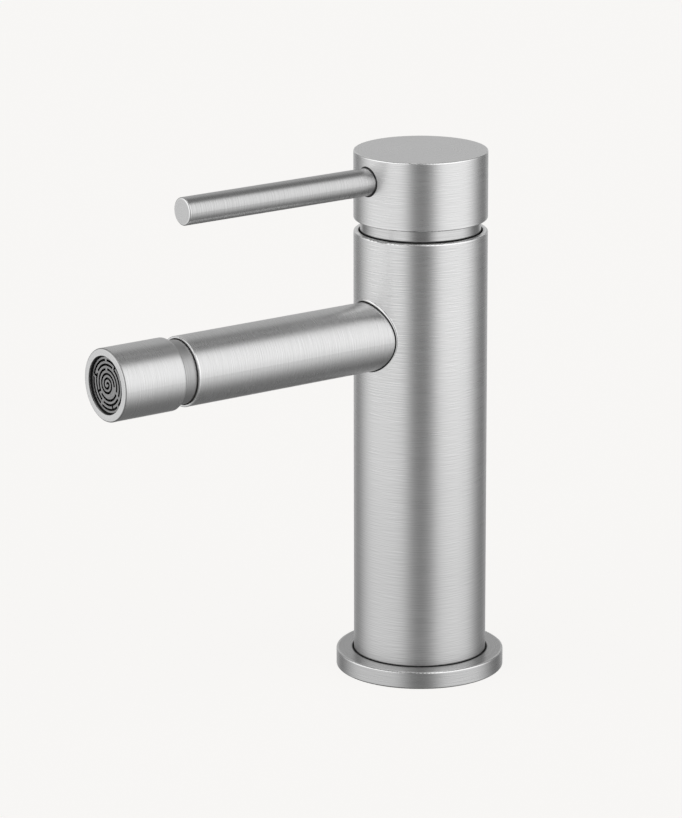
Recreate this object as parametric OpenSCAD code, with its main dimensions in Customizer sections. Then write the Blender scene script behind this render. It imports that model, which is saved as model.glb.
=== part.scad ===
// Single-lever bidet mixer: a round column on a flange, a straight spout that ends in a
// ball-jointed nozzle, and a round cap with a pin lever over a 35 mm ceramic cartridge.
// Millimetres, +Z up. The origin is the centre of the base, on the deck. The spout points to -Y.

/* [Column] */
// Outside diameter of the column and of the handle cap
column_d = 45; // [44.5:0.5:50]
// Wall of the column tube
column_wall = 1.7; // [1.3:0.1:1.8]
// Height of the column's top rim above the deck
rim_height = 152.6; // [150:0.1:200]
// Radius of the rounded edges of the turned steel pieces
edge_round = 0.5; // [0.2:0.05:0.6]
// Gap round the column in its flange, and round the spout in the column
reveal_gap = 0.3; // [0.1:0.05:0.4]

/* [Base] */
// Outside diameter of the base flange
flange_d = 57; // [54:0.5:64]
// Thickness of the base flange
flange_t = 6; // [5:0.25:8]
// Depth of the seat that centres the column in the flange
seat_depth = 0.8; // [0.5:0.1:1.5]
// Diameter of the hole through the flange
flange_hole_d = 34; // [33:0.5:36]
// Width of the gasket under the flange
gasket_w = 3.6; // [2.5:0.1:4]
// Thickness of the gasket under the flange
gasket_t = 1.2; // [0.8:0.1:2]
// Height of the base plug inside the column
plug_h = 10; // [8:0.5:14]
// Diameter of each hole that a supply hose passes through
hose_hole_d = 13; // [12:0.25:13.5]
// Tapping diameter of the hole for the M8 fixing stud
stud_hole_d = 6.8; // [5:0.1:7]
// Distance of the fixing stud's hole behind the column's axis
stud_back = 9.5; // [9:0.25:11.5]

/* [Inlets] */
// Distance between the hot and cold inlets
inlet_pitch = 15; // [14.6:0.1:16]
// Distance of the inlets in front of the column's axis
inlet_front = 4.5; // [4.2:0.1:5]
// Diameter of the waterway of one inlet
inlet_bore_d = 5.8; // [4:0.1:6]
// Tapping diameter of the M10 thread that takes a hose
hose_thread_d = 9; // [8:0.1:9.4]
// Length of the thread that takes a hose
hose_thread_l = 11; // [8:0.5:13]
// Diameter of the connector's thread in the valve core
connector_thread_d = 12; // [11.4:0.1:12.4]
// Length of the connector's thread in the valve core
connector_thread_l = 9; // [7:0.5:10]
// Diameter of the connector's collar
connector_collar_d = 14.2; // [13.6:0.1:14.4]
// Height of the connector's collar
connector_collar_h = 5; // [4:0.5:8]
// Thickness of the washer between a connector and the valve core
inlet_washer_t = 0.8; // [0.5:0.1:1.2]

/* [Spout] */
// Outside diameter of the spout
spout_d = 23.4; // [22.6:0.2:26]
// Distance of the spout's axis below the column's rim
spout_below_rim = 33.6; // [33.6:0.2:60]
// Distance from the column's axis to the mouth of the spout
spout_reach = 98; // [80:0.5:130]
// Distance from the column's axis to the spout's seat in the valve core
spout_seat = 17; // [15:0.25:17]
// Diameter of the spout's thread in the valve core
spigot_d = 16; // [14:0.5:17]
// Length of the spout's thread in the valve core
spigot_l = 6.4; // [5.5:0.1:6.8]
// Diameter of the waterway in the spout
spout_bore_d = 11; // [8:0.5:12]
// Wall of the spout at its mouth
mouth_wall = 0.7; // [0.6:0.05:1.2]
// Length of the adapter that is screwed into the mouth
adapter_l = 10; // [8:0.5:14]

/* [Nozzle] */
// Outside diameter of the nozzle
nozzle_d = 24.2; // [24:0.2:25.2]
// Length of the nozzle's head
nozzle_l = 23.7; // [22:0.1:30]
// Radius of the nozzle's rounded back edge
nozzle_round = 0.8; // [0.3:0.1:1.2]
// Gap between the mouth of the spout and the nozzle's head
nozzle_gap = 5; // [4.8:0.1:7]
// Clearance between the nozzle's skirt and the mouth of the spout
mouth_gap = 0.3; // [0.3:0.05:0.6]
// Wall of the ball's socket
socket_wall = 1.6; // [1.4:0.1:1.9]
// Thickness of the liner between the ball and its socket
liner_t = 1; // [0.8:0.05:1.3]
// Diameter of the ball's stem
stem_d = 8.4; // [7.4:0.2:8.8]
// Diameter of the waterway through the ball
ball_bore_d = 4.8; // [4:0.2:5.4]
// How far the nozzle swivels each way, in degrees
swivel_max = 15; // [8:0.5:15]

/* [Aerator] */
// Diameter of the aerator's pocket in the nozzle
aerator_d = 19.4; // [19:0.1:20]
// Depth of the aerator's face inside the nozzle's front edge
face_recess = 1.1; // [0.6:0.1:1.6]
// Thickness of the aerator's face
face_t = 1.1; // [1:0.1:1.6]
// Width of the slots in the aerator's face
slot_w = 0.76; // [0.4:0.02:0.8]
// Distance between neighbouring slots in the aerator's face
slot_pitch = 1.5; // [1.35:0.01:1.55]
// Wall of the aerator's housing
aerator_wall = 0.5; // [0.4:0.05:0.8]
// Thickness of the washer behind the aerator
aerator_washer_t = 1.5; // [1:0.1:2]

/* [Handle] */
// Height of the handle cap
cap_h = 23.2; // [21:0.1:30]
// Wall of the handle cap's skirt
cap_wall = 1.7; // [1.3:0.1:1.8]
// Thickness of the solid top of the handle cap
cap_top_t = 14.2; // [14:0.1:15.5]
// How far the lever lifts, in degrees
lift_max = 10; // [6:0.5:12]
// Clearance left between the cap and the column's rim at full lift
lift_clear = 0.2; // [0.1:0.05:0.5]
// Diameter of the lever
lever_d = 9.3; // [7:0.1:10]
// Distance of the lever's axis below the top of the cap
lever_drop = 8.15; // [7.4:0.05:8.4]
// Distance from the column's axis to the tip of the lever
lever_reach = 96.2; // [70:0.2:120]
// Distance from the column's axis to the lever's seat in the cap
lever_seat = 13.6; // [13:0.1:15]
// Width of the black ring round the lever's root
lever_ring_w = 0.5; // [0.3:0.05:0.7]
// Diameter of the lever's thread and of the grub screw behind it
lever_thread_d = 6; // [5:0.5:6]
// Length of the grub screw that clamps the cap to the cartridge's stem
grub_l = 5; // [4:0.1:5]

/* [Cartridge] */
// Outside diameter of the cartridge
cartridge_d = 35; // [34:0.1:35.2]
// Depth of the lever's pivot below the column's rim
pivot_depth = 0.2; // [0.2:0.1:1]
// Distance from the lever's pivot down to the floor of the cartridge's chamber
pivot_height = 21; // [21:0.1:22]
// Thickness of the cartridge's base
cartridge_base_t = 4; // [3.6:0.1:4.4]
// Thickness of the fixed ceramic disc
fixed_disc_t = 2.8; // [2.4:0.1:3]
// Thickness of the moving ceramic disc
moving_disc_t = 2.6; // [2.2:0.1:2.8]
// Diameter of the moving ceramic disc
moving_disc_d = 24.2; // [24:0.1:25]
// Width of the stem's square
stem_square = 8; // [7:0.1:8.2]
// Distance from the pivot to the ball tip that pushes the disc
tip_drop = 8.5; // [8.5:0.05:8.8]
// Diameter of the pivot pin
pin_d = 3; // [2.5:0.1:3.4]
// Outside diameter of the cartridge's neck
cartridge_neck_d = 27.8; // [27.4:0.1:29]
// Depth of the valve core's top below the column's rim
core_drop = 1.5; // [0.8:0.1:1.6]
// Clearance of the neck ring inside the column's rim
neck_gap = 0.5; // [0.3:0.05:0.6]

/* [Hidden] */
$fn = 96;

// Clearance of pieces that are seated in each other
fit = 0.05;
// Clearance of pieces that run on each other
run = 0.06;
// A cutter runs this far past the face that it opens
over = 1;

steel = [0.72, 0.72, 0.73];
brass = [0.78, 0.63, 0.33];
rubber = [0.08, 0.08, 0.08];
ceramic = [0.93, 0.93, 0.9];
grey_plastic = [0.55, 0.57, 0.6];
white_plastic = [0.9, 0.9, 0.88];

// Column and base
column_r = column_d / 2;
column_in = column_r - column_wall;
column_foot = flange_t - seat_depth;
core_r = column_in - fit;
plug_top = column_foot + plug_h;
flange_round = 0.5;
gasket_margin = 2.4;
gasket_out = flange_d / 2 - gasket_margin;
gasket_in = gasket_out - gasket_w;

// Heights on the column's axis. The cap's foot just clears the rim when the lever is lifted.
spout_z = rim_height - spout_below_rim;
pivot_z = rim_height - pivot_depth;
chamber_floor = pivot_z - pivot_height;
core_top = rim_height - core_drop;
cap_foot = pivot_z + (column_r * sin(lift_max) + pivot_depth + lift_clear) / cos(lift_max);
cap_top = cap_foot + cap_h;
lever_z = cap_top - lever_drop;

// The spout's root in the valve core
spout_r = spout_d / 2;
spigot_r = spigot_d / 2;
spigot_end = spout_seat - spigot_l;
socket_relief = 0.6;
socket_end = spigot_end - socket_relief;
spout_seal_wire = 0.62;
spout_seal_inset = 2.2;
spout_seal_at = spigot_end + spout_seal_inset;

// Inlets, from the spout's thread down
inlet_x = inlet_pitch / 2;
inlet_r = inlet_bore_d / 2;
spigot_floor = 1;
connector_top = spout_z - spigot_r - spigot_floor;
core_foot = connector_top - connector_thread_l;
collar_top = core_foot - inlet_washer_t;
connector_foot = collar_top - connector_collar_h;
flats_over_thread = 0.8;
flats_width = connector_thread_d + flats_over_thread;

// Outlet of the cartridge, behind the axis, and the crossway from it to the spout
outlet_back = 7;
outlet_r = 3.2;
crossway_r = 3.5;

// Cartridge, from its chamber's floor up
chamber_r = cartridge_d / 2;
cartridge_gap = 0.1;
cartridge_r = chamber_r - cartridge_gap;
neck_out = cartridge_neck_d / 2;
disc_floor = chamber_floor + cartridge_base_t;
moving_floor = disc_floor + fixed_disc_t;
carrier_floor = moving_floor + moving_disc_t;
tip_z = pivot_z - tip_drop;
tip_r = 2;
tip_neck_r = 1.5;
carrier_over_tip = 0.9;
carrier_top = tip_z + carrier_over_tip;
carrier_r = 11.2;
carrier_flat = 9;
rotor_skirt_drop = 2.3;
rotor_foot = tip_z - rotor_skirt_drop;
rotor_skirt_in = 12.9;
rotor_skirt_out = 14.4;
carrier_gap = 0.2;
rotor_web_t = 1.4;
rotor_web_floor = carrier_top + carrier_gap;
rotor_web_top = rotor_web_floor + rotor_web_t;
cartridge_neck_wall = 1.4;
rotor_r = neck_out - cartridge_neck_wall;
rotor_over_pivot = 3.5;
rotor_top = pivot_z + rotor_over_pivot;
guide_w = 9;
skirt_gap = 0.4;
disc_bore_r = rotor_skirt_out + skirt_gap;
web_gap = 0.1;
shoulder_t = 1.7;
housing_step = rotor_web_top + web_gap;
housing_shoulder = housing_step + shoulder_t;
housing_over_pivot = 3;
housing_top = pivot_z + housing_over_pivot;
core_rim_t = 1.75;
nut_thread_r = core_r - core_rim_t;

// Pegs and port seals under the cartridge
peg_r = 1.5;
peg_l = 2;
peg_x = 11.5;
peg_y = 8.5;
port_seal_r = 4.55;
port_seal_t = 1.5;

// Mixing chamber in the moving disc's underside
chamber_cut_r = 6.2;
chamber_cut_y = 1.2;
chamber_cut_t = 1.4;

// Neck ring round the nut, and the lip that covers the nut
neck_r = column_in - neck_gap;
neck_wall = 1;
neck_lap = 0.5;
neck_top = cap_foot + neck_lap;
lip_w = 0.7;
lip_in = neck_out - lip_w;
nut_collar_t = 2;
nut_collar_top = core_top + nut_collar_t;
nut_gap = 0.2;
nut_top = neck_top - neck_wall - nut_gap;
hex_gap = 1.4;
nut_hex_r = neck_r - neck_wall - hex_gap;

// Handle cap and the stem inside it
cap_in = column_r - cap_wall;
cap_ceiling = cap_top - cap_top_t;
hub_r = 8.5;
hub_gap = 1.3;
hub_foot = neck_top + hub_gap;
lever_r = lever_d / 2;
lever_thread_r = lever_thread_d / 2;
lever_hole_r = lever_r + lever_ring_w;
lever_ring_sink = 0.15;
stem_half = stem_square / 2;
stem_top = lever_z + lever_thread_r;
stem_shoulder_drop = 3.3;
stem_shoulder = pivot_z - stem_shoulder_drop;
shank_half = 0.75 * stem_half;
shank_gap = 0.2;
shank_foot = tip_z + tip_r + shank_gap;
grub_key_r = 1.7;
grub_key_l = 2.5;

// Ball joint, with distances measured outwards from the ball's centre. The centre is far
// enough out for the skirt to keep half its clearance in the mouth at full swivel both ways.
both_ways = acos(pow(cos(swivel_max), 2));
mouth_r = spout_r - mouth_wall;
skirt_r = mouth_r - mouth_gap;
ball_out = max(0.5, (skirt_r * (1 / cos(both_ways) - 1) - mouth_gap / 2) / tan(both_ways));
ball_y = spout_reach + ball_out;
socket_r = skirt_r - socket_wall;
liner_out = socket_r - run;
liner_in = liner_out - liner_t;
ball_r = liner_in - run;
stem_r = stem_d / 2;
lip_spare = 1.5;
lip_angle = both_ways + asin(stem_r / socket_r) + lip_spare;
liner_back_angle = swivel_max + asin(stem_r / liner_in) + lip_spare;
seal_angle = 44;
seal_wire_r = (socket_r - ball_r) / 2;
seal_reach = (socket_r + ball_r) / 2;
seal_r = seal_reach * sin(seal_angle);
seal_at = seal_reach * cos(seal_angle);
liner_front_angle = seal_angle + asin(seal_wire_r / seal_reach) + swivel_max + lip_spare;
head_back = nozzle_gap - ball_out;
head_front = head_back + nozzle_l;
ball_key_over_bore = 0.6;
ball_key_r = ball_bore_d / 2 + ball_key_over_bore;
ball_key_l = 4;

// Adapter in the spout's mouth
adapter_gap = 0.5;
adapter_front = ball_y - skirt_r - adapter_gap;
adapter_back = adapter_front - adapter_l;
adapter_thread_r = 5;
adapter_thread_l = 6;
adapter_wire = 0.85;
adapter_groove_inset = 2.7;
adapter_groove_at = adapter_back + adapter_groove_inset;

// Aerator, measured like the ball joint
aerator_r = aerator_d / 2;
retainer_gap = 0.25;
retainer_r = aerator_r - retainer_gap;
retainer_back = 2.5;
retainer_front = 10.5;
retainer_bore_r = 5;
washer_front = retainer_front + aerator_washer_t;
aerator_washer_w = 3.4;
washer_in = aerator_r - aerator_washer_w;
face_front = head_front - face_recess;
face_back = face_front - face_t;
housing_r = aerator_r - fit;
face_stand = 0.7;
housing_front = face_front - face_stand;
face_r = housing_r - aerator_wall - fit;
diffuser_t = 1.5;
jets = 8;
jet_r = 0.9;
jet_circle_r = 4;
screens = 3;
screen_t = 0.4;
screen_step = 3;
screen_hole_r = 0.7;
screen_hole_step = 2.4;

// Slots of the aerator's face
rings = 3;
ring_margin = 1;
ring_outer = face_r - ring_margin;
bridge_w = 0.9;

// Half profile from one radius and height to another, with its outside corners rounded
module rounded_profile(r_in, r_out, low, high, low_round, high_round) {
    difference() {
        translate([r_in, low]) square([r_out - r_in, high - low]);
        if (low_round > 0) outside_corner(r_out, low, low_round, -1);
        if (high_round > 0) outside_corner(r_out, high, high_round, 1);
    }
}

// What a rounding takes off a half profile's corner: side is 1 at a top and -1 at a foot
module outside_corner(r, height, round_r, side) {
    centre = height - side * round_r;
    difference() {
        translate([r - round_r, side > 0 ? centre : height - over]) square(round_r + over);
        translate([r - round_r, centre]) circle(r = round_r, $fn = 32);
    }
}

// A turned tube or bar with rounded outside edges
module turned(r_in, r_out, low, high, low_round = 0, high_round = 0) {
    rotate_extrude() rounded_profile(r_in, r_out, low, high, low_round, high_round);
}

// An upright round bar or hole from one height to another
module bore(r, low, high) {
    translate([0, 0, low]) cylinder(r = r, h = high - low);
}

// An upright ring from one height to another
module ring(r_in, r_out, low, high) {
    difference() {
        bore(r_out, low, high);
        bore(r_in, low - over, high + over);
    }
}

// An upright square bar from one height to another
module square_bar(width, low, high) {
    translate([-width / 2, -width / 2, low]) cube([width, width, high - low]);
}

// Turns children so that their +Z runs out along a horizontal axis at a height, towards -Y
module outwards(height, out = 0) {
    translate([0, -out, height]) rotate([90, 0, 0]) children();
}

// A bar or hole of a length along X, through the lever's pivot
module pivot_bar(r, length) {
    translate([-length / 2, 0, pivot_z]) rotate([0, 90, 0]) cylinder(r = r, h = length);
}

// Places children at both inlets
module at_inlets() {
    for (side = [-1, 1])
        translate([side * inlet_x, -inlet_front, 0]) children();
}

// A rubber ring of round section
module o_ring(r, wire_r) {
    rotate_extrude() translate([r, 0]) circle(r = wire_r, $fn = 32);
}

// The part of a half plane between two angles, measured from +Z
module wedge(from, to, reach) {
    middle = (from + to) / 2;
    polygon([
        [0, 0],
        [reach * sin(from), reach * cos(from)],
        [2 * reach * sin(middle), 2 * reach * cos(middle)],
        [reach * sin(to), reach * cos(to)]
    ]);
}

// The column: a tube with a hole for the spout
module column_sleeve() {
    color(steel) difference() {
        turned(column_in, column_r, column_foot, rim_height, edge_round, edge_round);
        outwards(spout_z) cylinder(r = spout_r + reveal_gap, h = column_d);
    }
}

// The flange: a turned ring that the column stands in
module base_flange() {
    color(steel) difference() {
        turned(flange_hole_d / 2, flange_d / 2, 0, flange_t, edge_round, flange_round);
        bore(column_r + reveal_gap, column_foot, flange_t + over);
        ring(gasket_in - fit, gasket_out + fit, -over, gasket_t);
    }
}

// The gasket: a flat rubber ring, pressed flush into the flange
module base_gasket() {
    color(rubber) ring(gasket_in, gasket_out, 0, gasket_t);
}

// The base plug: a threaded disc in the column's foot, with the stud's hole and two hose holes
module base_plug() {
    color(brass) difference() {
        union() {
            bore(flange_hole_d / 2 - fit, 0, column_foot + over);
            bore(core_r, column_foot, plug_top);
        }
        at_inlets() bore(hose_hole_d / 2, -over, plug_top + over);
        translate([0, stud_back, 0]) bore(stud_hole_d / 2, -over, plug_top + over);
    }
}

// The valve core: a turned body with the cartridge's chamber, the spout's socket and waterways
module valve_core() {
    color(brass) difference() {
        bore(core_r, core_foot, core_top);
        bore(chamber_r, chamber_floor, core_top + over);
        bore(nut_thread_r, housing_shoulder, core_top + over);
        outwards(spout_z, spout_seat) cylinder(r = spout_r + fit, h = column_d);
        outwards(spout_z, socket_end) cylinder(r = spigot_r, h = column_d);
        outwards(spout_z, -outlet_back) cylinder(r = crossway_r, h = outlet_back + socket_end + over);
        translate([0, outlet_back, 0]) bore(outlet_r, spout_z, chamber_floor + over);
        at_inlets() bore(inlet_r, core_foot - over, chamber_floor + over);
        at_inlets() bore(connector_thread_d / 2, core_foot - over, connector_top);
        base_pegs(peg_r + fit, peg_l + 0.2);
    }
}

// The pegs that stop the cartridge from turning in its chamber
module base_pegs(r, length) {
    for (side = [-1, 1])
        translate([side * peg_x, peg_y, 0]) bore(r, chamber_floor - length, chamber_floor + over);
}

// One inlet connector: a brass union that takes a supply hose from below
module inlet_connector(side) {
    color(brass) translate([side * inlet_x, -inlet_front, 0]) difference() {
        union() {
            bore(connector_thread_d / 2 - fit, connector_foot + over, connector_top - fit);
            bore(connector_collar_d / 2, connector_foot, collar_top);
        }
        bore(inlet_r, connector_foot, connector_top + over);
        bore(hose_thread_d / 2, connector_foot - over, connector_foot + hose_thread_l);
        connector_flats();
    }
}

// The two spanner flats of a connector's collar
module connector_flats() {
    for (side = [-1, 1])
        translate([-column_r, side * (column_r + flats_width / 2) - column_r, connector_foot - over])
            cube([column_d, column_d, connector_collar_h - over]);
}

// The washers between the connectors and the valve core
module inlet_washers() {
    color(rubber) at_inlets() ring(connector_thread_d / 2, connector_collar_d / 2, collar_top, core_foot);
}

// Places children on the axis of the inlets and of the outlet
module at_ports() {
    at_inlets() children();
    translate([0, outlet_back, 0]) children();
}

// The ports that run through the cartridge's base and its fixed disc
module cartridge_ports(low, high) {
    at_inlets() bore(inlet_r, low, high);
    translate([0, outlet_back, 0]) bore(outlet_r, low, high);
}

// The cartridge's base: a moulded disc with three ports, each with a recess for its seal
module cartridge_base() {
    color(white_plastic) difference() {
        union() {
            bore(cartridge_r, chamber_floor, disc_floor);
            base_pegs(peg_r, peg_l);
        }
        cartridge_ports(chamber_floor - over, disc_floor + over);
        at_ports() bore(port_seal_r + fit, chamber_floor - over, chamber_floor + port_seal_t);
    }
}

// The port seals: three rubber rings in the base's recesses
module cartridge_port_seals() {
    color(rubber) difference() {
        at_ports() bore(port_seal_r, chamber_floor, chamber_floor + port_seal_t);
        cartridge_ports(chamber_floor - over, disc_floor);
    }
}

// The cartridge's housing: a stepped moulding that holds the rotor down
module cartridge_housing() {
    color(grey_plastic) rotate_extrude() polygon([
        [disc_bore_r, disc_floor],
        [cartridge_r, disc_floor],
        [cartridge_r, housing_shoulder],
        [neck_out, housing_shoulder],
        [neck_out, housing_top],
        [rotor_r + run, housing_top],
        [rotor_r + run, housing_step],
        [disc_bore_r, housing_step]
    ]);
}

// The fixed disc: lapped ceramic with three ports
module fixed_disc() {
    color(ceramic) difference() {
        bore(disc_bore_r - fit, disc_floor, moving_floor);
        cartridge_ports(disc_floor - over, moving_floor + over);
    }
}

// The cartridge nut: a brass ring nut with a hexagon for the spanner and a collar for the neck ring
module cartridge_nut() {
    color(brass) difference() {
        union() {
            bore(nut_thread_r - fit, housing_shoulder, core_top);
            bore(neck_r - neck_wall - fit, core_top, nut_collar_top);
            translate([0, 0, nut_collar_top])
                cylinder(r = nut_hex_r, h = nut_top - nut_collar_top, $fn = 6);
        }
        bore(neck_out + fit, housing_shoulder - over, nut_top + over);
    }
}

// The neck ring: the brushed ring in the gap under the cap, with a lip over the nut
module neck_ring() {
    color(steel) difference() {
        turned(lip_in, neck_r, core_top, neck_top, 0, edge_round);
        bore(neck_r - neck_wall, core_top - over, neck_top - neck_wall);
    }
}

// The spout: a drilled bar with a threaded root and a wide mouth for the ball joint
module spout_tube() {
    color(steel) outwards(spout_z) difference() {
        union() {
            turned(0, spout_r, spout_seat, spout_reach, 0, reveal_gap);
            bore(spigot_r - fit, spigot_end, spout_seat + over);
        }
        bore(spout_bore_d / 2, spigot_end - over, spout_reach);
        bore(mouth_r, adapter_back, spout_reach + over);
        o_ring_groove(spigot_r, spout_seal_at, spout_seal_wire);
    }
}

// The square groove of an O-ring in the outside of a round spigot
module o_ring_groove(r, at, wire_r) {
    ring(r - 2 * wire_r - fit, r + over, at - 1.6 * wire_r, at + 1.6 * wire_r);
}

// The O-ring on the spout's root
module spout_seal() {
    color(rubber) outwards(spout_z, spout_seal_at)
        o_ring(spigot_r - spout_seal_wire - fit / 2, spout_seal_wire);
}

// The adapter: a brass disc screwed into the spout's mouth, which takes the ball's stem
module mouth_adapter() {
    color(brass) outwards(spout_z) difference() {
        bore(mouth_r - fit, adapter_back, adapter_front);
        bore(adapter_thread_r, adapter_front - adapter_thread_l, adapter_front + over);
        bore(ball_key_r, adapter_back - over, adapter_front);
        o_ring_groove(mouth_r, adapter_groove_at, adapter_wire);
    }
}

// The O-ring round the adapter
module adapter_seal() {
    color(rubber) outwards(spout_z, adapter_groove_at)
        o_ring(mouth_r - adapter_wire - fit / 2, adapter_wire);
}

// The swivel ball: a ball on a hollow stem that screws into the adapter, with a hexagon for the key
module swivel_ball() {
    stem_back = adapter_front - ball_y;
    color(steel) outwards(spout_z, ball_y) difference() {
        union() {
            sphere(r = ball_r);
            bore(stem_r, stem_back, 0);
            bore(adapter_thread_r - fit, stem_back - adapter_thread_l, stem_back);
        }
        bore(ball_bore_d / 2, stem_back - adapter_thread_l - over, ball_r + over);
        translate([0, 0, ball_r - ball_key_l]) cylinder(r = ball_key_r, h = ball_key_l + over, $fn = 6);
    }
}

// The rotor: the moulded drum that turns with the lever, with the stem's slot and the disc's guides
module cartridge_rotor() {
    slot_x = stem_half + run;
    slot_y = stem_half + 0.9;
    color(white_plastic) difference() {
        union() {
            bore(rotor_r, rotor_web_floor, rotor_top);
            bore(rotor_skirt_out, rotor_web_floor, rotor_web_top);
            ring(rotor_skirt_in, rotor_skirt_out, rotor_foot, rotor_web_top);
            rotor_guides();
        }
        translate([-slot_x, -slot_y, rotor_web_floor - over])
            cube([2 * slot_x, 2 * slot_y, rotor_top - rotor_web_floor + 2 * over]);
        pivot_bar(pin_d / 2, 2 * (rotor_r + over));
    }
}

// The rotor's two guides, which the disc carrier slides between
module rotor_guides() {
    guide_x = carrier_flat + run;
    guide_out = rotor_skirt_in + 0.4;
    for (side = [-1, 1])
        translate([side > 0 ? guide_x : -guide_out, -guide_w / 2, rotor_foot])
            cube([guide_out - guide_x, guide_w, rotor_web_top - rotor_foot]);
}

// The pivot pin: the steel pin that the stem tilts on
module pivot_pin() {
    color(steel) pivot_bar(pin_d / 2 - fit / 2, 2 * (rotor_r - 0.2));
}

// The disc carrier: a moulded slide with a pocket for the stem's ball tip
module disc_carrier() {
    pocket = tip_r + run;
    color(grey_plastic) difference() {
        intersection() {
            bore(carrier_r, carrier_floor, carrier_top);
            translate([-carrier_flat, -carrier_r, carrier_floor])
                cube([2 * carrier_flat, 2 * carrier_r, carrier_top - carrier_floor]);
        }
        square_bar(2 * pocket, tip_z - pocket, carrier_top + over);
    }
}

// The moving disc: lapped ceramic with a mixing chamber in its underside
module moving_disc() {
    color(ceramic) difference() {
        bore(moving_disc_d / 2, moving_floor, carrier_floor);
        translate([0, chamber_cut_y, 0])
            bore(chamber_cut_r, moving_floor - over, moving_floor + chamber_cut_t);
    }
}

// The stem: a square steel bar on the pivot pin, with a ball tip below
module cartridge_stem() {
    color(steel) difference() {
        union() {
            square_bar(stem_square, stem_shoulder, stem_top);
            square_bar(2 * shank_half, shank_foot, stem_shoulder + over);
            bore(tip_neck_r, tip_z, shank_foot + over);
            translate([0, 0, tip_z]) sphere(r = tip_r);
        }
        pivot_bar(pin_d / 2 + run, 2 * stem_square);
    }
}

// The handle cap: a turned cap, hollow below, with a square socket for the stem
module handle_cap() {
    color(steel) difference() {
        turned(0, column_r, cap_foot, cap_top, edge_round, edge_round);
        difference() {
            bore(cap_in, cap_foot - over, cap_ceiling);
            bore(hub_r, hub_foot, cap_ceiling + over);
        }
        square_bar(stem_square + 2 * fit, cap_foot, stem_top + 0.5);
        outwards(lever_z, lever_seat) cylinder(r = lever_hole_r, h = column_r);
        outwards(lever_z) cylinder(r = lever_thread_r, h = lever_seat + over);
    }
}

// The grub screw that clamps the cap on the stem, behind the lever's thread
module stem_grub_screw() {
    color(steel) outwards(lever_z, stem_half) difference() {
        cylinder(r = lever_thread_r - fit, h = grub_l);
        translate([0, 0, grub_l - grub_key_l]) cylinder(r = grub_key_r, h = grub_key_l + over, $fn = 6);
    }
}

// The lever: a turned pin with a threaded root
module lever_rod() {
    thread_start = stem_half + grub_l + 0.4;
    color(steel) outwards(lever_z) union() {
        turned(0, lever_r, lever_seat, lever_reach, 0, edge_round);
        bore(lever_thread_r - fit, thread_start, lever_seat + over);
    }
}

// The black ring that closes the gap round the lever, just below the cap's surface
module lever_ring() {
    color(rubber) intersection() {
        outwards(lever_z) ring(lever_r + fit / 2, lever_hole_r - fit / 2, lever_seat, column_r + over);
        bore(column_r - lever_ring_sink, cap_foot, cap_top);
    }
}

// The ball's liner: a ring of low-friction plastic between the ball and its socket
module ball_liner() {
    color(white_plastic) outwards(spout_z, ball_y) rotate_extrude() intersection() {
        difference() {
            circle(r = liner_out);
            circle(r = liner_in);
        }
        wedge(liner_front_angle, 180 - liner_back_angle, 2 * liner_out);
    }
}

// The nozzle's shell: a turned head with a round-backed skirt that goes into the spout's mouth
module nozzle_shell() {
    color(steel) outwards(spout_z, ball_y) difference() {
        union() {
            rotate_extrude() intersection() {
                circle(r = skirt_r);
                wedge(90, 180 - lip_angle, 2 * skirt_r);
            }
            bore(skirt_r, 0, head_back + over);
            turned(0, nozzle_d / 2, head_back, head_front, nozzle_round, edge_round);
        }
        sphere(r = socket_r);
        bore(socket_r, 0, retainer_back);
        bore(retainer_r + fit, retainer_back - fit, head_front);
        bore(aerator_r, retainer_front, head_front + over);
    }
}

// The ball's retainer: a threaded ring that closes the socket from the front
module ball_retainer() {
    color(brass) outwards(spout_z, ball_y) difference() {
        bore(retainer_r, retainer_back, retainer_front);
        sphere(r = socket_r);
        bore(retainer_bore_r, 0, retainer_front + over);
        translate([0, 0, seal_at]) o_ring(seal_r, seal_wire_r + fit);
    }
}

// The ball's seal: an O-ring between the ball and the retainer
module ball_seal() {
    color(rubber) outwards(spout_z, ball_y + seal_at) o_ring(seal_r, seal_wire_r - run);
}

// The aerator's washer
module aerator_washer() {
    color(rubber) outwards(spout_z, ball_y) ring(washer_in, aerator_r - fit, retainer_front, washer_front);
}

// The aerator's housing: a moulded cup with a ring of jets in its floor
module aerator_housing() {
    floor_front = washer_front + diffuser_t;
    color(grey_plastic) outwards(spout_z, ball_y) difference() {
        bore(housing_r, washer_front, housing_front);
        bore(housing_r - aerator_wall, floor_front, housing_front + over);
        for (i = [0 : jets - 1])
            rotate([0, 0, 360 * i / jets]) translate([jet_circle_r, 0, 0])
                bore(jet_r, washer_front - over, floor_front + over);
    }
}

// The aerator's screens: punched discs that break up the jets
module aerator_screens() {
    color(steel) outwards(spout_z, ball_y)
        for (n = [1 : screens])
            translate([0, 0, face_back - n * screen_step]) rotate([0, 0, 20 * n]) screen();
}

// One screen: a disc with a hole in the middle of each cell of a hexagonal pattern
module screen() {
    difference() {
        cylinder(r = face_r, h = screen_t);
        for (circle_no = [1 : 3], i = [0 : 6 * circle_no - 1])
            rotate([0, 0, 60 * i / circle_no]) translate([circle_no * screen_hole_step, 0, 0])
                bore(screen_hole_r, -over, screen_t + over);
    }
}

// A slot that follows part of a circle
module arc_slot(r, from, sweep) {
    rotate([0, 0, from]) rotate_extrude(angle = sweep)
        translate([r - slot_w / 2, -over]) square([slot_w, face_t + 2 * over]);
}

// A short slot that joins two rings of slots at an angle
module cross_slot(angle, r_in, r_out) {
    rotate([0, 0, angle]) translate([r_in, -slot_w / 2, -over])
        cube([r_out - r_in, slot_w, face_t + 2 * over]);
}

// The slot in the middle, which winds in by half circles about two centres
module spiral_slot(r_out, half_turns) {
    for (i = [0 : half_turns - 1])
        translate([i % 2 == 0 ? 0 : -slot_pitch / 2, 0, 0])
            arc_slot(r_out - i * slot_pitch / 2, i % 2 == 0 ? 0 : 180, 180);
}

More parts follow.
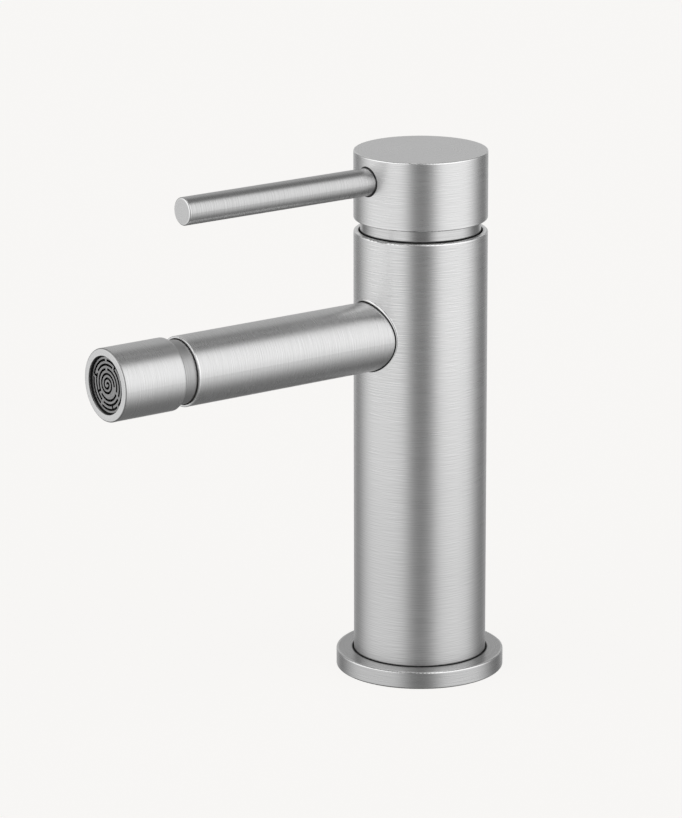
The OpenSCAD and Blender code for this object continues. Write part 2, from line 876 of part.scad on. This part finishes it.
// A ring of equal arc slots with bridges between them
module slot_ring(r, count, turn) {
    bridge = 2 * asin(bridge_w / 2 / r);
    for (i = [0 : count - 1])
        arc_slot(r, turn + 360 * i / count + bridge / 2, 360 / count - bridge);
}

// The aerator's face: a disc with broken rings of slots round a spiral one
module aerator_face() {
    color(steel) outwards(spout_z, ball_y + face_back) difference() {
        cylinder(r = face_r, h = face_t);
        for (n = [0 : rings - 1])
            slot_ring(ring_outer - n * slot_pitch, 5 - n, 25 + 37 * n);
        for (angle = [58, 165, 290])
            cross_slot(angle, ring_outer - slot_pitch, ring_outer);
        cross_slot(210, ring_outer - 2 * slot_pitch, ring_outer - slot_pitch);
        spiral_slot(ring_outer - rings * slot_pitch, 5);
    }
}

column_sleeve();
base_flange();
base_gasket();
base_plug();
valve_core();
inlet_connector(-1);  // hot_inlet_connector
inlet_connector(1);  // cold_inlet_connector
inlet_washers();
cartridge_base();
cartridge_port_seals();
cartridge_housing();
fixed_disc();
cartridge_nut();
neck_ring();
spout_tube();
spout_seal();
mouth_adapter();
adapter_seal();
swivel_ball();
cartridge_rotor();
pivot_pin();
disc_carrier();
moving_disc();
cartridge_stem();
handle_cap();
stem_grub_screw();
lever_rod();
lever_ring();
ball_liner();
nozzle_shell();
ball_retainer();
ball_seal();
aerator_washer();
aerator_housing();
aerator_screens();
aerator_face();
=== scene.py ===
import math

import bpy
import numpy as np
from mathutils import Matrix, Vector


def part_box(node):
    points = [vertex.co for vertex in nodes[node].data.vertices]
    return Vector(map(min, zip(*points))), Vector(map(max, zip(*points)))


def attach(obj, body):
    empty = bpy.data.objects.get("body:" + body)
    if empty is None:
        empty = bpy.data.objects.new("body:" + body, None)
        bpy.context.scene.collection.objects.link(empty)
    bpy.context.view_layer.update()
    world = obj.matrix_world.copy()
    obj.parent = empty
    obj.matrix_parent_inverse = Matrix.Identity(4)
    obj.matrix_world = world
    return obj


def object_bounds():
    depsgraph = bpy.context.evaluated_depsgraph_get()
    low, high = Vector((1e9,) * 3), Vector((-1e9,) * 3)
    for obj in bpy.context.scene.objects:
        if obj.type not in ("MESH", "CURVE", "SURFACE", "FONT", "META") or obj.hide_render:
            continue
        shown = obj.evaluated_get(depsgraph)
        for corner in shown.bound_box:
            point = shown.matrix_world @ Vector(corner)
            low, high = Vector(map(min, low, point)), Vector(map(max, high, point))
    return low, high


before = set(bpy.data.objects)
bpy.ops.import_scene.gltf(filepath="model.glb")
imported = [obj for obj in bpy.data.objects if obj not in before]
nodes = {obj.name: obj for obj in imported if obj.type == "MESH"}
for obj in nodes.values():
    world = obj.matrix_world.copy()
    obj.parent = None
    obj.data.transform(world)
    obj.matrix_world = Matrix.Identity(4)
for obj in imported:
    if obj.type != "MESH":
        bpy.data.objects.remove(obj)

cad_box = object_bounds()
mm = 0.001

# The photographer's place
# A long lens looks at the mixer from its front left, a little from above, so that the round
# edges of the flange, the column and the cap all show as flat ovals.
camera_place = Vector((1.130596, -0.860551, 0.482406))
camera_turn = math.radians(53.803)
camera_dip = math.radians(15.428)
camera_roll = -0.00234
lens_mm = 191.73
film_mm = 36
nearest, furthest = 0.05, 60

camera_data = bpy.data.cameras.new("photo_camera")
camera_data.lens = lens_mm
camera_data.sensor_width = film_mm
camera_data.sensor_fit = "AUTO"
camera_data.clip_start = nearest
camera_data.clip_end = furthest
camera = bpy.data.objects.new("photo_camera", camera_data)
bpy.context.scene.collection.objects.link(camera)
looking = Vector((-math.sin(camera_turn) * math.cos(camera_dip),
                  math.cos(camera_turn) * math.cos(camera_dip),
                  -math.sin(camera_dip)))
facing = looking.to_track_quat("-Z", "Y").to_matrix().to_4x4()
camera.matrix_world = (Matrix.Translation(camera_place) @ facing
                       @ Matrix.Rotation(camera_roll, 4, "Z"))
bpy.context.scene.camera = camera


# The column sleeve
# A drawn stainless tube, turned true and brushed round its axis with a fine belt. It carries
# the spout's root and stands in a shallow seat in the flange.
class Shade:
    """A value in a finish's node tree. Sums and products of it add Math nodes."""

    def __init__(self, tree, socket=None):
        self.tree = tree
        self.socket = socket

    def node(self, kind, settings=(), sockets=(), out=0):
        """Adds a node of a kind: first its settings, then the values or links of its sockets."""
        made = self.tree.nodes.new("ShaderNode" + kind)
        for name, value in dict(settings).items():
            setattr(made, name, value)
        for name, value in dict(sockets).items():
            if isinstance(value, Shade):
                value.into(made, name)
            else:
                made.inputs[name].default_value = value
        return Shade(self.tree, made.outputs[out])

    def into(self, node, socket):
        """Links this value to a socket of a node, such as the shader's Roughness."""
        self.tree.links.new(self.socket, node.inputs[socket])

    def maths(self, operation, *values):
        return self.node("Math", {"operation": operation}, dict(enumerate(values)))

    def __add__(self, other):
        return self.maths("ADD", self, other)

    __radd__ = __add__

    def __mul__(self, other):
        return self.maths("MULTIPLY", self, other)

    __rmul__ = __mul__

    def __sub__(self, other):
        return self.maths("SUBTRACT", self, other)

    def __rsub__(self, other):
        return self.maths("SUBTRACT", other, self)

    def larger(self, other):
        return self.maths("MAXIMUM", self, other)

    def root(self):
        return self.maths("SQRT", self)

    def size(self):
        return self.maths("ABSOLUTE", self)

    def ease(self, low, high):
        """Rises smoothly from 0 at low to 1 at high, or falls where low is the larger."""
        if low > high:
            return 1 - self.ease(high, low)
        return self.node("MapRange", {"interpolation_type": "SMOOTHSTEP"},
                         {"Value": self, "From Min": low, "From Max": high})

    def lifted(self, least):
        """Lifts 0 to the least value and leaves 1 as it is."""
        return self * (1 - least) + least

    def tint(self, first, second):
        """A colour between two others, by this value. Each is three numbers or a Shade."""
        first, second = (colour if isinstance(colour, Shade) else (*colour, 1)
                         for colour in (first, second))
        return self.node("Mix", {"data_type": "RGBA"}, {0: self, 6: first, 7: second}, out=2)


def start_finish(name, metallic=0):
    """A new material: the material, the start of its node tree, and its shader."""
    material = bpy.data.materials.new(name)
    material.use_nodes = True
    shader = material.node_tree.nodes["Principled BSDF"]
    shader.inputs["Metallic"].default_value = metallic
    return material, Shade(material.node_tree), shader


def speckle(start, per_metre, detail=2.0):
    """Even noise all through a piece, with so many grains to the metre."""
    place = start.node("TexCoord", out="Object")
    return start.node("TexNoise",
                      sockets={"Vector": place, "Scale": per_metre, "Detail": detail})


def relief(height, strength, depth, shader):
    """Raises the surface by a depth where the height is 1, for light alone."""
    height.node("Bump", sockets={"Strength": strength, "Distance": depth,
                                 "Height": height}).into(shader, "Normal")


def parts_of(vector):
    """A vector's x, y and z."""
    return [vector.node("SeparateXYZ", sockets={0: vector}, out=part) for part in range(3)]


def lathe_place(start, axis, centre):
    """Place on a turned piece: its x, y and z from the centre, its length along the axis from
    the origin, and its radius."""
    parts = parts_of(start.node("TexCoord", out="Object"))
    off = {letter: part - mid for letter, part, mid in zip("XYZ", parts, centre)}
    flat = [0 if letter == axis else off[letter] for letter in "XYZ"]
    arm = start.node("CombineXYZ", sockets=dict(enumerate(flat)))
    radius = start.node("VectorMath", {"operation": "LENGTH"}, {0: arm}, out="Value")
    return off, parts["XYZ".index(axis)], radius


def lathe_marks(start, axis, off, along, radius, mark_length, mark_width, detail=2.0):
    """Noise drawn out round the axis: slow over the marks' length, quick across them. On an
    end face the radius takes the place of the length along the axis."""
    across = (along + radius) * (1 / mark_width)
    axes = [across if letter == axis else off[letter] * (1 / mark_length) for letter in "XYZ"]
    spot = start.node("CombineXYZ", sockets=dict(enumerate(axes)))
    return start.node("TexNoise", sockets={"Vector": spot, "Scale": 1.0, "Detail": detail,
                                           "Roughness": 0.6})


def brushed_steel(name, axis, centre, edges=(), tone=0.72, face_tone_with_painted_light=0.84, rough=0.30,
                  grain=1.0, painted_shade=None):
    """Satin stainless, brushed round a lathe axis. Its flat ends are faced finer and get a tone
    of their own, and each piece gets its own tone: these tones carry painted light and painted
    shade as well as the steel's colour. Its edges are rubbed smoother and painted brighter, a
    painted highlight. Each edge is its place along the axis, its radius, and how far the rubbing
    and the painted highlight reach along the side and across the face. What lies in a gap or a
    bore is painted dark, a painted shade, and made rougher."""
    fine_length, fine_width, fine_shift = 7.5 * mm, 0.28 * mm, 0.26 * mm
    # What each kind of mark does to the tone, then to the roughness, then to the relief
    fine_tone, broad_tone, scratch_tone, patch_tone, edge_highlight_tone = 0.36, 0.02, 0.03, 0.06, 0.32
    fine_blur, broad_blur, scratch_blur, worn_blur, hollow_blur = 0.18, 0.10, 0.05, 0.08, 0.6
    broad_relief, scratch_relief = 0.5, 0.5
    face_fineness, worn_fineness = 0.45, 0.8

    material, start, shader = start_finish(name, metallic=1)
    off, along, radius = lathe_place(start, axis, centre)
    fine, beside = (
        lathe_marks(start, axis, off, place, radius, fine_length, fine_width, 0.0)
        for place in (along, along + fine_shift))
    fine = (fine - beside) * 0.7
    broad = lathe_marks(start, axis, off, along, radius, 26 * mm, 0.8 * mm, 1.0) - 0.5
    scratch = lathe_marks(start, axis, off, along, radius, 12 * mm, 0.22 * mm).ease(0.66, 0.78)
    patch = speckle(start, 45.0) - 0.5
    # Edges are rubbed smoother, and painted brighter as a painted highlight.
    worn_and_highlight = 0
    for place, edge_radius, side, across in edges:
        away = ((along - place) * (1 / side)).size().larger(
            ((radius - edge_radius) * (1 / across)).size())
        worn_and_highlight = away.ease(1.0, 0.53).larger(worn_and_highlight)
    outward = start.node("TexCoord", out="Normal")
    faced = start.node("SeparateXYZ", sockets={0: outward}, out="XYZ".index(axis)).size().ease(
        0.82, 0.97)

    depth = (1 - faced * face_fineness) * (1 - worn_and_highlight * worn_fineness) * grain
    level = (fine * fine_tone + broad * broad_tone - scratch * scratch_tone) * depth
    # The edges' added tone is a painted highlight, and the tones of sides and flat ends carry
    # painted light and shade.
    level = level + patch * patch_tone + worn_and_highlight * edge_highlight_tone + 1
    level = level * (faced * (face_tone_with_painted_light - tone) + tone)
    blur = (broad * broad_blur - fine * (fine_blur * grain) + scratch * scratch_blur
            - worn_and_highlight * worn_blur + rough)
    # Painted shade: gaps and bores are darkened in colour and made rougher.
    if painted_shade is not None:
        bright = painted_shade(off, along, radius)
        level = level * bright
        blur = blur + (1 - bright) * hollow_blur
    level.tint((0, 0, 0), (1, 1, 1)).into(shader, "Base Color")
    blur.into(shader, "Roughness")
    marks = (fine + broad * broad_relief - scratch * scratch_relief) * (1 - worn_and_highlight)
    relief(marks, 0.35, 0.012 * mm, shader)
    return material


def give(node, material):
    """Gives a piece of the mixer its finish."""
    for slot in nodes[node].material_slots:
        slot.material = material


def middle(node):
    """The middle of a piece's box at rest."""
    low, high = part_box(node)
    return [(a + b) / 2 for a, b in zip(low, high)]


def span(node, axis):
    """The two ends of a piece's box along one axis."""
    low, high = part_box(node)
    return low["XYZ".index(axis)], high["XYZ".index(axis)]


column_high = span("column_sleeve", "Z")[1]
column_radius = span("column_sleeve", "X")[1]
column_wall = 1.7 * mm
flange_high = span("base_flange", "Z")[1]
spout_height = middle("spout_tube")[2]
spout_hole = span("spout_tube", "X")[1] + 0.3 * mm


def column_painted_shade(off, along, radius):
    """Painted shade: dark in the foot's gap in the flange, in the bore and on the wall of the
    spout's hole. The column is also painted a little darker towards the bottom and darkest at
    the foot, a painted shade."""
    foot = (along - flange_high).ease(0.1 * mm, 0.6 * mm)
    bore = (radius - (column_radius - column_wall)).ease(0.02 * mm, 0.15 * mm)
    across, up = off["X"], along - spout_height
    rim = ((across * across + up * up).root() - spout_hole).ease(-0.02 * mm, 0.1 * mm).larger(
        off["Y"].ease(-5 * mm, 0.0))
    # Painted shade: a little darker towards the bottom, darkest at the foot.
    painted_foot_shade = (along.ease(15 * mm, 135 * mm) * 0.10
             + (along - flange_high).ease(-1 * mm, 12 * mm) * 0.05 + 0.85)
    return foot.lifted(0.1) * bore.lifted(0.1) * rim.lifted(0.08) * painted_foot_shade


give("column_sleeve", brushed_steel(
    "column_steel", "Z", (0, 0, 0), [(column_high, column_radius, 0.7 * mm, 1.4 * mm)],
    tone=0.826, painted_shade=column_painted_shade))


# The base flange
# A turned disc of the same steel with a rounded top edge and a seat for the column. A black
# gasket is let into its underside and seals it on the deck.
flange_low = span("base_flange", "Z")[0]
flange_radius = span("base_flange", "X")[1]


def flange_painted_shade(off, along, radius):
    """Painted shade: dark at the seat's edge round the column, and at the lowest edge on the
    deck.
    """
    seat = (radius - column_radius).ease(0.35 * mm, 1.0 * mm)
    lowest = (along - flange_low).ease(0.0, 0.6 * mm)
    return seat.lifted(0.1) * lowest.lifted(0.4)


# The flange's top is toned darker than its side, a painted shade.
give("base_flange", brushed_steel(
    "flange_steel", "Z", (0, 0, 0), [(flange_high, flange_radius, 0.7 * mm, 1.0 * mm)],
    tone=0.66, face_tone_with_painted_light=0.53, grain=0.8, painted_shade=flange_painted_shade))


def moulded_rubber(name, tone=0.018, rough=0.62):
    """Black moulded rubber: faint flow marks, a fine matt grain and a dusty bloom."""
    material, start, shader = start_finish(name)
    flow = speckle(start, 160.0, 3.0)
    grain = speckle(start, 5200.0)
    bloom = flow * 0.6 + grain * 0.4
    bare, dusty = [tone * 0.6] * 3, [tone * 1.7, tone * 1.65, tone * 1.6]
    bloom.tint(bare, dusty).into(shader, "Base Color")
    (flow * 0.2 + (rough - 0.1)).into(shader, "Roughness")
    relief(grain, 0.4, 0.02 * mm, shader)
    return material


seal_rubber = moulded_rubber("seal_rubber")
for seal in ("base_gasket", "inlet_washers", "cartridge_port_seals", "spout_seal",
             "adapter_seal", "ball_seal", "aerator_washer"):
    give(seal, seal_rubber)


# The base plug
# A turned white plastic plug inside the column's foot. The hoses pass through its two large
# holes and the fixing stud screws into the small one.
def moulded_plastic(name, colour, rough=0.38):
    """Moulded engineering plastic: slow cloudy tone, fine spark-eroded grain, soft gloss."""
    material, start, shader = start_finish(name)
    cloud = speckle(start, 70.0, 3.0)
    pores = speckle(start, 3800.0)
    dark = [part * 0.90 for part in colour]
    pale = [min(part * 1.08, 0.95) for part in colour]
    (cloud * 0.7 + pores * 0.3).tint(dark, pale).into(shader, "Base Color")
    (cloud * 0.12 + pores * 0.10 + (rough - 0.11)).into(shader, "Roughness")
    relief(pores, 0.25, 0.02 * mm, shader)
    return material


acetal = moulded_plastic("white_acetal", (0.84, 0.83, 0.79))
for white_piece in ("base_plug", "ball_liner", "disc_carrier"):
    give(white_piece, acetal)
filled_nylon = moulded_plastic("grey_nylon", (0.30, 0.31, 0.33), 0.45)
for grey_piece in ("cartridge_base", "cartridge_housing", "cartridge_rotor"):
    give(grey_piece, filled_nylon)
give("aerator_housing", moulded_plastic("black_acetal", (0.016, 0.016, 0.017), 0.42))


# The valve core and its inlets
# A bored brass bar inside the column, with the cartridge's chamber on top and two connectors
# screwed into its foot, one for hot water and one for cold. A brass nut holds the cartridge.
def turned_brass(name, axis, centre, shade_radius=1.0):
    """Bar brass as it leaves the lathe: close feed marks, warm tone, a little tarnish. What
    lies beyond the shade radius is painted black, a painted shade where the core shows through
    the gap round the spout. A radius of a metre leaves none of it."""
    material, start, shader = start_finish(name, metallic=1)
    off, along, radius = lathe_place(start, axis, centre)
    feed = lathe_marks(start, axis, off, along, radius, 30 * mm, 0.12 * mm, 1.0)
    tarnish = speckle(start, 110.0, 4.0)
    dull, warm, painted_shade_black = (0.58, 0.40, 0.16), (0.84, 0.66, 0.34), (0.020, 0.018, 0.016)
    metal = (feed * 0.5 + tarnish * 0.5).ease(0.3, 0.7).tint(dull, warm)
    # Painted shade: the outermost tenths of a millimetre of the radius are painted black.
    bare = (radius - shade_radius).ease(-0.2 * mm, -0.4 * mm)
    bare.tint(painted_shade_black, metal).into(shader, "Base Color")
    (tarnish * 0.2 + (feed - 0.5) * 0.1 + 0.18).into(shader, "Roughness")
    relief(feed, 0.5, 0.01 * mm, shader)
    return material


give("valve_core", turned_brass("core_brass", "Z", (0, 0, 0), span("valve_core", "X")[1]))
upright_brass = turned_brass("upright_brass", "Z", (0, 0, 0))
for brass_piece in ("hot_inlet_connector", "cold_inlet_connector", "cartridge_nut"):
    give(brass_piece, upright_brass)


# The cartridge's ceramic discs
# Two lapped alumina discs meet face to face and meter the water. The upper one slides and
# turns with the stem.
def lapped_ceramic(name):
    """Dense off-white alumina: glossy, with sparse grey specks and a faint lapped haze."""
    material, start, shader = start_finish(name)
    specks = speckle(start, 2600.0).ease(0.64, 0.72)
    haze = speckle(start, 300.0)
    off_white, grey = (0.86, 0.85, 0.81), (0.60, 0.59, 0.57)
    specks.tint(off_white, grey).into(shader, "Base Color")
    (haze * 0.12 + 0.08).into(shader, "Roughness")
    return material


alumina = lapped_ceramic("lapped_alumina")
for disc in ("fixed_disc", "moving_disc"):
    give(disc, alumina)


# The stem, its pin, the grub screw and the screens
# A square steel stem with a ball tip pushes the disc. It rocks on a ground pin, and a grub
# screw in the lever's hole, behind its thread, clamps the cap to it. The aerator's fine
# screens are of the same plain steel.
def ground_steel(name, axis, centre):
    """Ground stainless bar, greyer than the brushed pieces, with short crossing marks."""
    material, start, shader = start_finish(name, metallic=1)
    off, along, radius = lathe_place(start, axis, centre)
    marks = lathe_marks(start, axis, off, along, radius, 3 * mm, 0.10 * mm)
    dark, pale = (0.46, 0.46, 0.47), (0.66, 0.66, 0.66)
    marks.ease(0.25, 0.75).tint(dark, pale).into(shader, "Base Color")
    ((marks - 0.5) * 0.2 + 0.34).into(shader, "Roughness")
    relief(marks, 0.3, 0.01 * mm, shader)
    return material


for steel_piece, axis in (("cartridge_stem", "Z"), ("pivot_pin", "X"),
                          ("stem_grub_screw", "Y"), ("aerator_screens", "Y")):
    give(steel_piece, ground_steel("ground_" + steel_piece, axis, middle(steel_piece)))


# The neck ring
# A narrow ring of brushed steel that closes the gap between the column and the cap and hides
# the cartridge's nut.
def neck_painted_shade(off, along, radius):
    """Painted shade: dark at the foot of the ring, inside the column's rim."""
    return (along - column_high).ease(0.2 * mm, 0.8 * mm).lifted(0.05)


give("neck_ring", brushed_steel("neck_steel", "Z", (0, 0, 0), tone=0.71, rough=0.20, grain=0.8,
                                painted_shade=neck_painted_shade))


# The handle cap
# Turned from solid bar, with a bored skirt and a drilled side for the lever. Its top is faced
# flat and left finer than its brushed side.
cap_low, cap_high = span("handle_cap", "Z")
cap_radius = span("handle_cap", "X")[1]
give("handle_cap", brushed_steel(
    "cap_steel", "Z", (0, 0, 0), [(cap_high, cap_radius, 0.5 * mm, 0.5 * mm),
                                  (cap_low, cap_radius, 0.75 * mm, 0.75 * mm)],
    tone=0.84, grain=0.72))


# The lever
# A long plain pin of brushed steel, screwed into the cap through a black ring that fills the
# edge of its hole.
lever_end = span("lever_rod", "Y")[0]
lever_radius = span("lever_rod", "X")[1]
# The lever's side is toned darker and its end lighter: painted shade and painted light.
give("lever_rod", brushed_steel(
    "lever_steel", "Y", middle("lever_rod"),
    [(lever_end, lever_radius, 0.75 * mm, 0.75 * mm)], tone=0.585, face_tone_with_painted_light=0.84, grain=0.85))
give("lever_ring", moulded_rubber("lever_ring_rubber", 0.012, 0.5))


# The spout
# A thick drilled bar of brushed steel. Its mouth is bored thin for the ball joint, and a
# brass adapter screwed inside it carries the ball.
spout_end = span("spout_tube", "Y")[0]
spout_radius = span("spout_tube", "X")[1]
spout_centre = middle("spout_tube")


def spout_painted_shade(off, along, radius):
    """Painted shade: dark at the ring where the spout enters the column, and in the bore behind
    its mouth."""
    column_gap = ((off["X"] * off["X"] + along * along).root() - column_radius).ease(
        0.0, 0.3 * mm)
    deep = (along - spout_end).ease(6 * mm, 3 * mm).larger(
        (radius - spout_radius).ease(-0.9 * mm, -0.6 * mm))
    return column_gap.lifted(0.08) * deep.lifted(0.2)


# The spout's end face is toned near-white, a painted highlight.
give("spout_tube", brushed_steel(
    "spout_steel", "Y", spout_centre, [(spout_end, spout_radius, 0.75 * mm, 0.75 * mm)],
    tone=0.695, face_tone_with_painted_light=1.0, grain=0.8, painted_shade=spout_painted_shade))
give("mouth_adapter", turned_brass("adapter_brass", "Y", spout_centre))


# The lip of the spout's hole
# A fine raised edge of steel on the column, left where the spout's hole was cut. It is
# highest at the upper right and all but dies out at the lower left.
def hole_lip(name, hole_radius, height, round_radius, width, rise):
    """The fine raised lip round a side hole. A tube runs round the hole's edge: at turn a and
    section angle b, its distance from the hole's axis is the hole's radius plus half the
    width times 1 + cos b, and it lies on the round body, raised by rise times sin b. Width
    and rise are whole at the upper right and fall to a tenth at the lower left."""
    turns, steps = 240, 16
    least, highest_at, fall = 0.10, math.radians(20), 2.5
    a = np.linspace(0, 2 * np.pi, turns, endpoint=False)[:, None]
    b = np.linspace(0, 2 * np.pi, steps, endpoint=False)[None, :]
    share = least + (1 - least) * ((1 + np.cos(a - highest_at)) / 2) ** fall
    out = hole_radius + width / 2 * share * (1 + np.cos(b))
    x = out * np.sin(a)
    z = height + out * np.cos(a)
    y = -np.sqrt((round_radius + rise * share * np.sin(b)) ** 2 - x ** 2)
    points = np.stack([x, y, z], axis=-1).reshape(-1, 3)
    i, j = np.meshgrid(np.arange(turns), np.arange(steps), indexing="ij")
    next_i, next_j = (i + 1) % turns, (j + 1) % steps
    quads = np.stack([i * steps + j, i * steps + next_j, next_i * steps + next_j,
                      next_i * steps + j], axis=-1).reshape(-1, 4)
    mesh = bpy.data.meshes.new(name)
    mesh.from_pydata(points.tolist(), [], quads.tolist())
    mesh.polygons.foreach_set("use_smooth", [True] * len(mesh.polygons))
    lip = bpy.data.objects.new(name, mesh)
    bpy.context.scene.collection.objects.link(lip)
    return lip


spout_lip = hole_lip("spout_hole_lip", spout_hole, spout_height, column_radius,
                     width=1.0 * mm, rise=0.36 * mm)
# The lip's near-white tone is a painted highlight.
spout_lip.data.materials.append(brushed_steel(
    "lip_steel_painted_highlight", "Y", spout_centre, tone=0.98, face_tone_with_painted_light=0.98, rough=0.22, grain=0.2))
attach(spout_lip, "column")


# The swivel ball and its retainer
# A chromed brass ball on a short hollow stem. It stays on the spout while the nozzle turns
# about it, held in its liner by a brass retainer.
def polished_chrome(name, axis, centre):
    """Bright chrome plate over a turned ball, with faint rub marks where the liner grips."""
    material, start, shader = start_finish(name, metallic=1)
    off, along, radius = lathe_place(start, axis, centre)
    rub = lathe_marks(start, axis, off, along, radius, 20 * mm, 0.25 * mm)
    rub.tint((0.62, 0.63, 0.65), (0.74, 0.75, 0.76)).into(shader, "Base Color")
    (rub.ease(0.45, 0.8) * 0.12 + 0.06).into(shader, "Roughness")
    return material


give("swivel_ball", polished_chrome("ball_chrome", "Y", middle("swivel_ball")))
give("ball_retainer", turned_brass("retainer_brass", "Y", spout_centre))


# The nozzle
# A turned shell that swivels on the ball. Its skirt slides into the spout's mouth, and its
# bright front edge stands round the aerator.
nozzle_front = span("nozzle_shell", "Y")[0]
nozzle_radius = span("nozzle_shell", "X")[1]
head_length = 23.7 * mm
pocket_radius = span("aerator_housing", "X")[1]


def nozzle_painted_shade(off, along, radius):
    """Painted shade: dark inside the aerator's pocket, on the turned-down skirt, and in a fine
    line round the front edge."""
    pocket = (radius - pocket_radius).ease(0.25 * mm, 0.0) * (along - nozzle_front).ease(
        0.45 * mm, 0.65 * mm)
    skirt = (along - (nozzle_front + head_length)).ease(-0.9 * mm, 0.1 * mm)
    edge = (along - nozzle_front).size().larger((radius - nozzle_radius).size()).ease(
        0.45 * mm, 0.30 * mm)
    return (1 - pocket * 0.95) * (1 - skirt * 0.26) * (1 - edge * 0.35)


# The nozzle's front face is toned near-white, a painted highlight.
give("nozzle_shell", brushed_steel(
    "nozzle_steel", "Y", middle("nozzle_shell"), tone=0.70, face_tone_with_painted_light=1.0, grain=0.72,
    painted_shade=nozzle_painted_shade))


# The aerator's face
# A thin stainless disc cut with broken rings of slots round a spiral one. The water leaves
# through the slots, past the screens in the housing behind.
face_front = span("aerator_face", "Y")[0]


def slotted_steel(name, axis, centre):
    """Cut and deburred sheet steel: grey bars of fine grain, and slot walls painted near-black,
    a painted shade.
    """
    material, start, shader = start_finish(name, metallic=1)
    off, along, radius = lathe_place(start, axis, centre)
    grain = speckle(start, 2400.0, 3.0)
    swirl = lathe_marks(start, axis, off, along, radius, 6 * mm, 0.3 * mm)
    dark, pale, wall = [0.34] * 3, [0.53] * 3, [0.016] * 3
    bars = (grain * 0.5 + swirl * 0.5).ease(0.3, 0.7).tint(dark, pale)
    # Painted shade: all that lies behind the face's front, the slots' walls, is near-black.
    inside = (along - face_front).ease(0.04 * mm, 0.12 * mm)
    inside.tint(bars, wall).into(shader, "Base Color")
    ((grain - 0.5) * 0.2 + 0.38).into(shader, "Roughness")
    relief(grain, 0.2, 0.01 * mm, shader)
    return material


give("aerator_face", slotted_steel("slotted_steel", "Y", middle("aerator_face")))


# The deck and the studio
# The mixer stands on a pale sheet under two tall soft boxes, right and left of the camera,
# with a dark gap between them. The steel mirrors the pale sheet behind the mixer, but not the
# deck, because the photograph's steel mirrors the boxes down to well below the horizon.
deck_reach = 9.0
deck_grey = (0.85, 0.85, 0.85, 1)
deck_glow = (0.985, 0.973, 0.957, 1)
glow_share = 0.90


def flat_deck(name, reach, height):
    """A square sheet: x and y run from minus to plus its reach, at one height."""
    corner = np.array([-reach, reach])
    x, y = np.meshgrid(corner, corner, indexing="ij")
    points = np.stack([x, y, np.full_like(x, height)], axis=-1).reshape(-1, 3)
    mesh = bpy.data.meshes.new(name)
    mesh.from_pydata(points.tolist(), [], [(0, 2, 3, 1)])
    sheet = bpy.data.objects.new(name, mesh)
    bpy.context.scene.collection.objects.link(sheet)
    return sheet


deck = flat_deck("deck_sheet", deck_reach, cad_box[0][2])
deck.visible_glossy = False
deck_paint = bpy.data.materials.new("deck_paint")
deck_paint.use_nodes = True
paint_nodes = deck_paint.node_tree.nodes
paint_nodes.remove(paint_nodes["Principled BSDF"])
paint = Shade(deck_paint.node_tree)
matt = paint.node("BsdfDiffuse", sockets={"Color": deck_grey})
glow = paint.node("Emission", sockets={"Color": deck_glow, "Strength": 1.0})
seen = paint.node("LightPath", out="Is Camera Ray")
paint.node("MixShader", sockets={0: seen * glow_share, 1: matt, 2: glow}).into(
    paint_nodes["Material Output"], "Surface")
deck.data.materials.append(deck_paint)

page = (0.9216, 0.9131, 0.9047, 1)
room_light, left_share, backdrop_light, horizon_light = 0.19, 0.885, 0.34, 0.4

world = bpy.data.worlds.new("studio")
bpy.context.scene.world = world
world.use_nodes = True
air_nodes = world.node_tree.nodes
air_nodes.remove(air_nodes["Background"])
air = Shade(world.node_tree)
ray_x, ray_y, ray_z = parts_of(air.node("TexCoord", out="Generated"))
nearer = ray_x * math.sin(camera_turn) - ray_y * math.cos(camera_turn)
rightward = ray_x * math.cos(camera_turn) + ray_y * math.sin(camera_turn)
degrees = 180 / math.pi
turn = air.maths("ARCTAN2", rightward, nearer) * degrees
rise = air.maths("ARCSINE", ray_z) * degrees


def soft_box(inner, outer):
    """A tall soft box. Each pair is the degrees of turn from the camera's side where that
    edge fades in, and where the box is whole. Its own foot and top fade by degrees of rise,
    and it goes on overhead."""
    upright = rise.ease(-65, 12) * rise.ease(60, 46) + rise.ease(65, 72)
    return turn.ease(*inner) * turn.ease(*outer) * upright


def patch_behind(side, foot, top):
    """A soft-edged patch straight behind the mixer, each edge a pair of degrees as above."""
    return turn.size().ease(*side) * rise.ease(*foot) * rise.ease(*top)


right_box = soft_box((8, 38), (126, 79))
left_box = soft_box((-7, -36), (-142, -89))
backdrop = patch_behind((138, 158), (-34, -16), (54, 40))
horizon = patch_behind((166, 174), (-34, -24), (-8, -14))
pale_sheet = patch_behind((170, 174), (-30, -24), (-5, -9))
lit = (room_light + right_box + left_box * left_share + backdrop * backdrop_light
       + horizon * horizon_light)
studio = air.node("Background", sockets={"Color": (1, 1, 1, 1), "Strength": lit})
beyond = air.node("Background", sockets={"Color": page, "Strength": 1.0})
mirrored = air.node("LightPath", out="Is Glossy Ray") + air.node(
    "LightPath", out="Is Transmission Ray")
seen_air = air.node("LightPath", out="Is Camera Ray").larger(mirrored * pale_sheet)
air.node("MixShader", sockets={0: seen_air, 1: studio, 2: beyond}).into(
    air_nodes["World Output"], "Surface")

bpy.context.scene.view_settings.view_transform = "Standard"
